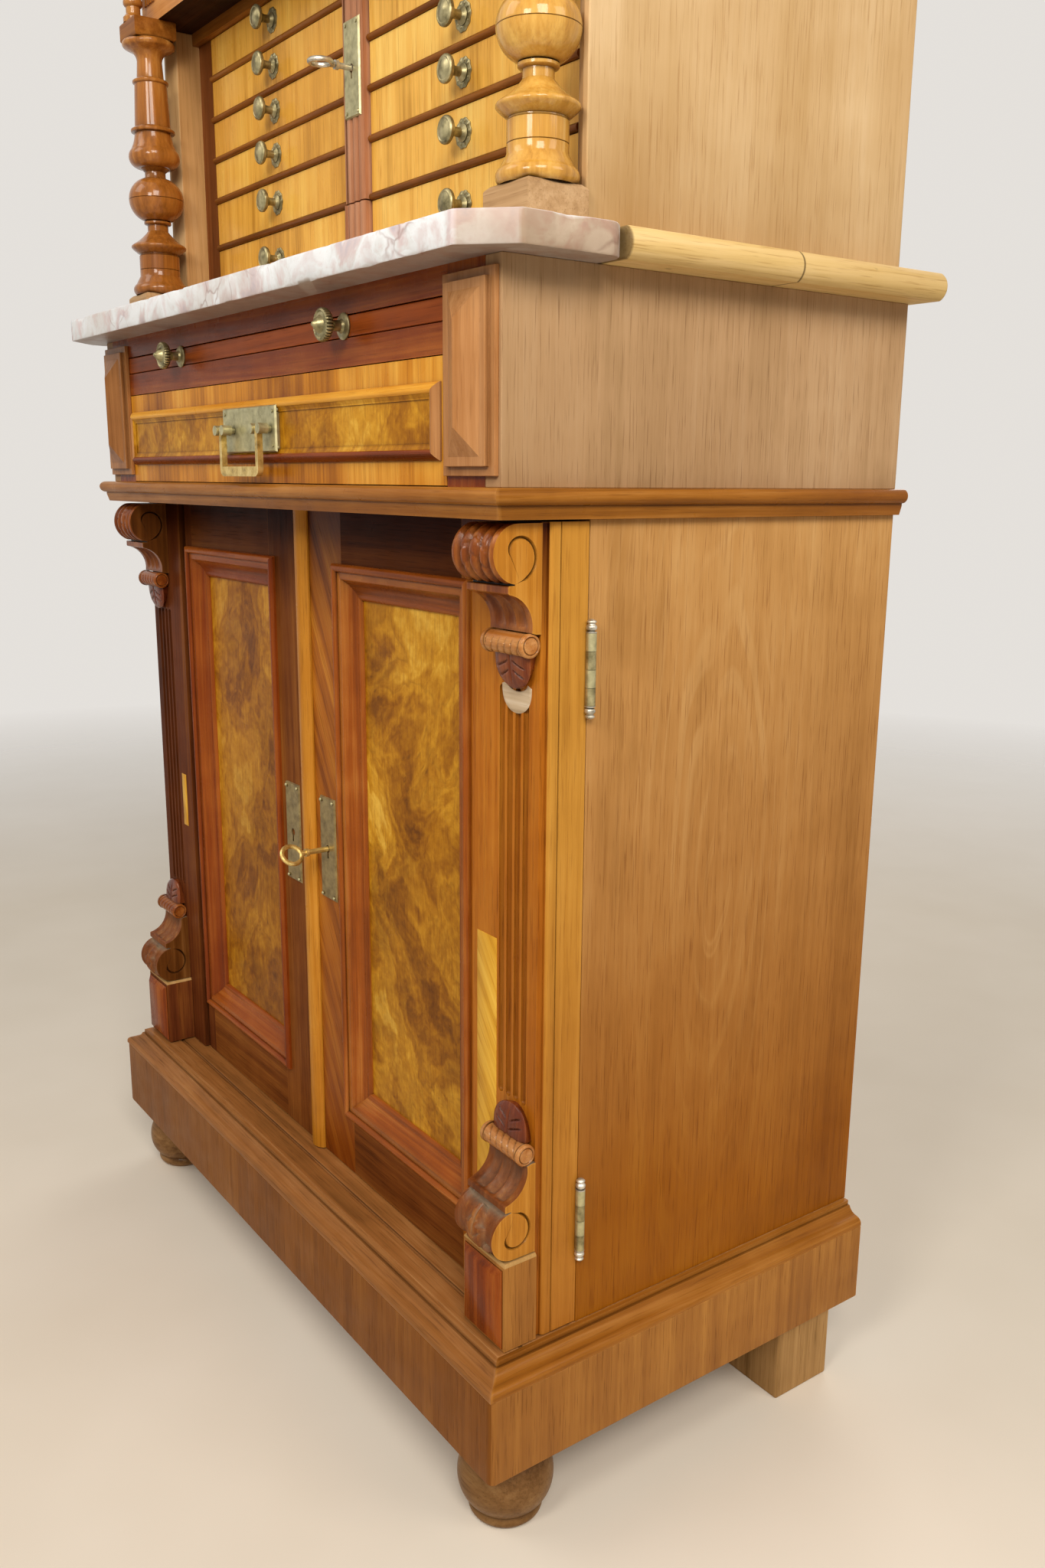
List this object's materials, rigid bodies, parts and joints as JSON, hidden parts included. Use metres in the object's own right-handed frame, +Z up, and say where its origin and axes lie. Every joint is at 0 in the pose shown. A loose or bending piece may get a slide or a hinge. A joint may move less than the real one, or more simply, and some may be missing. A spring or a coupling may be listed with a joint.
{
  "type": "dental cabinet",
  "caption": "Antique walnut dental cabinet: panelled cupboard, wide drawer, pull-out slide and marble slab under a niche of small drawers, turned columns and a glazed case.",
  "frame": {"origin": "middle of the footprint on the floor", "axes": "+Z up, front towards -Y, +X to the right seen from the front"},
  "size_m": [0.78, 0.428, 1.765],
  "materials": {
    "walnut": "waxed",
    "dark_walnut": "waxed",
    "burl": "polished burl veneer",
    "golden_walnut": "polished",
    "pale_wood": "bare",
    "marble": "honed breccia marble",
    "brass": "aged",
    "steel": "dull",
    "glass": "clear"
  },
  "bodies": {
    "cabinet": {"front_bun_feet": "walnut", "rear_block_feet": "pale_wood", "plinth_frame": "walnut", "plinth_moulding": "walnut", "base_floor": "walnut", "base_sides": "walnut", "back_panels": "pale_wood", "cupboard_shelf": "pale_wood", "drawer_deck": "walnut", "waist_moulding": "walnut", "front_frame": "walnut", "corner_blocks": "walnut", "marble_slab": "marble", "wooden_top": "pale_wood", "carcass_hinge_leaves": "brass", "upper_sides": "walnut", "drawer_case": "walnut", "turned_columns": "golden_walnut", "upper_case": "walnut"},
    "left_door": {"left_door_frame": "dark_walnut", "left_door_panel": "burl", "left_door_moulding": "dark_walnut", "left_corbels": "dark_walnut", "left_hinge_leaves": "brass", "left_escutcheon": "brass", "door_astragal": "dark_walnut"},
    "right_door": {"right_door_frame": "dark_walnut", "right_door_panel": "burl", "right_door_moulding": "dark_walnut", "right_corbels": "dark_walnut", "right_hinge_leaves": "brass", "right_escutcheon": "brass", "door_lock": "steel"},
    "bolt": {"lock_bolt": "steel"},
    "door_key": {"door_key": "brass"},
    "wide_drawer": {"large_drawer_box": "pale_wood", "large_drawer_front": "walnut", "drawer_pull_plate": "brass"},
    "bail": {"drawer_bail": "brass"},
    "slide": {"pull_out_slide": "walnut", "slide_knobs": "brass"},
    "bar": {"locking_bar": "walnut", "bar_lock_plate": "brass"},
    "bar_key": {"bar_key": "brass"},
    "left_case_door": {"left_glazed_door": "dark_walnut", "left_glass": "glass"},
    "right_case_door": {"right_glazed_door": "dark_walnut", "right_glass": "glass"},
    "drawer_left_1": {"drawer_left_1": "golden_walnut"},
    "drawer_left_2": {"drawer_left_2": "golden_walnut"},
    "drawer_left_3": {"drawer_left_3": "golden_walnut"},
    "drawer_left_4": {"drawer_left_4": "golden_walnut"},
    "drawer_left_5": {"drawer_left_5": "golden_walnut"},
    "drawer_left_6": {"drawer_left_6": "golden_walnut"},
    "drawer_right_1": {"drawer_right_1": "golden_walnut"},
    "drawer_right_2": {"drawer_right_2": "golden_walnut"},
    "drawer_right_3": {"drawer_right_3": "golden_walnut"},
    "drawer_right_4": {"drawer_right_4": "golden_walnut"},
    "drawer_right_5": {"drawer_right_5": "golden_walnut"},
    "drawer_right_6": {"drawer_right_6": "golden_walnut"}
  },
  "joints": [
    {"name": "left_door_hinge", "type": "hinge", "parent": "cabinet", "child": "left_door", "pos_m": [-0.3639, -0.1056, 0.4645], "axis": [0, 0, -1], "range_deg": [0, 110]},
    {"name": "right_door_hinge", "type": "hinge", "parent": "cabinet", "child": "right_door", "pos_m": [0.3639, -0.1056, 0.4645], "axis": [0, 0, 1], "range_deg": [0, 110]},
    {"name": "door_key_turn", "type": "hinge", "parent": "right_door", "child": "door_key", "pos_m": [0.035, -0.1385, 0.4685], "axis": [0, -1, 0], "range_deg": [0, 90]},
    {"name": "bolt_throw", "type": "slide", "parent": "right_door", "child": "bolt", "axis": [-1, 0, 0], "range_m": [0, 0.0105]},
    {"name": "wide_drawer_run", "type": "slide", "parent": "cabinet", "child": "wide_drawer", "axis": [0, -1, 0], "range_m": [0, 0.26]},
    {"name": "bail_lift", "type": "hinge", "parent": "wide_drawer", "child": "bail", "pos_m": [0, -0.1931, 0.8325], "axis": [-1, 0, 0], "range_deg": [0, 90]},
    {"name": "slide_run", "type": "slide", "parent": "cabinet", "child": "slide", "axis": [0, -1, 0], "range_m": [0, 0.27]},
    {"name": "bar_swing", "type": "hinge", "parent": "cabinet", "child": "bar", "pos_m": [-0.012, -0.075, 1.12], "axis": [0, 0, 1], "range_deg": [-90, 0]},
    {"name": "bar_key_turn", "type": "hinge", "parent": "bar", "child": "bar_key", "pos_m": [0.003, -0.081, 1.1252], "axis": [0, -1, 0], "range_deg": [0, 90]},
    {"name": "left_case_door_hinge", "type": "hinge", "parent": "cabinet", "child": "left_case_door", "pos_m": [-0.30475, -0.1283, 1.469], "axis": [0, 0, -1], "range_deg": [0, 100]},
    {"name": "right_case_door_hinge", "type": "hinge", "parent": "cabinet", "child": "right_case_door", "pos_m": [0.30475, -0.1283, 1.469], "axis": [0, 0, 1], "range_deg": [0, 100]},
    {"name": "drawer_left_1_run", "type": "slide", "parent": "cabinet", "child": "drawer_left_1", "axis": [0, -1, 0], "range_m": [0, 0.19]},
    {"name": "drawer_left_2_run", "type": "slide", "parent": "cabinet", "child": "drawer_left_2", "axis": [0, -1, 0], "range_m": [0, 0.19]},
    {"name": "drawer_left_3_run", "type": "slide", "parent": "cabinet", "child": "drawer_left_3", "axis": [0, -1, 0], "range_m": [0, 0.19]},
    {"name": "drawer_left_4_run", "type": "slide", "parent": "cabinet", "child": "drawer_left_4", "axis": [0, -1, 0], "range_m": [0, 0.19]},
    {"name": "drawer_left_5_run", "type": "slide", "parent": "cabinet", "child": "drawer_left_5", "axis": [0, -1, 0], "range_m": [0, 0.19]},
    {"name": "drawer_left_6_run", "type": "slide", "parent": "cabinet", "child": "drawer_left_6", "axis": [0, -1, 0], "range_m": [0, 0.19]},
    {"name": "drawer_right_1_run", "type": "slide", "parent": "cabinet", "child": "drawer_right_1", "axis": [0, -1, 0], "range_m": [0, 0.19]},
    {"name": "drawer_right_2_run", "type": "slide", "parent": "cabinet", "child": "drawer_right_2", "axis": [0, -1, 0], "range_m": [0, 0.19]},
    {"name": "drawer_right_3_run", "type": "slide", "parent": "cabinet", "child": "drawer_right_3", "axis": [0, -1, 0], "range_m": [0, 0.19]},
    {"name": "drawer_right_4_run", "type": "slide", "parent": "cabinet", "child": "drawer_right_4", "axis": [0, -1, 0], "range_m": [0, 0.19]},
    {"name": "drawer_right_5_run", "type": "slide", "parent": "cabinet", "child": "drawer_right_5", "axis": [0, -1, 0], "range_m": [0, 0.19]},
    {"name": "drawer_right_6_run", "type": "slide", "parent": "cabinet", "child": "drawer_right_6", "axis": [0, -1, 0], "range_m": [0, 0.19]}
  ],
  "couplings": [
    {"joint": "bolt_throw", "follows": "door_key_turn", "m_per_rad": 0.0063662}
  ]
}
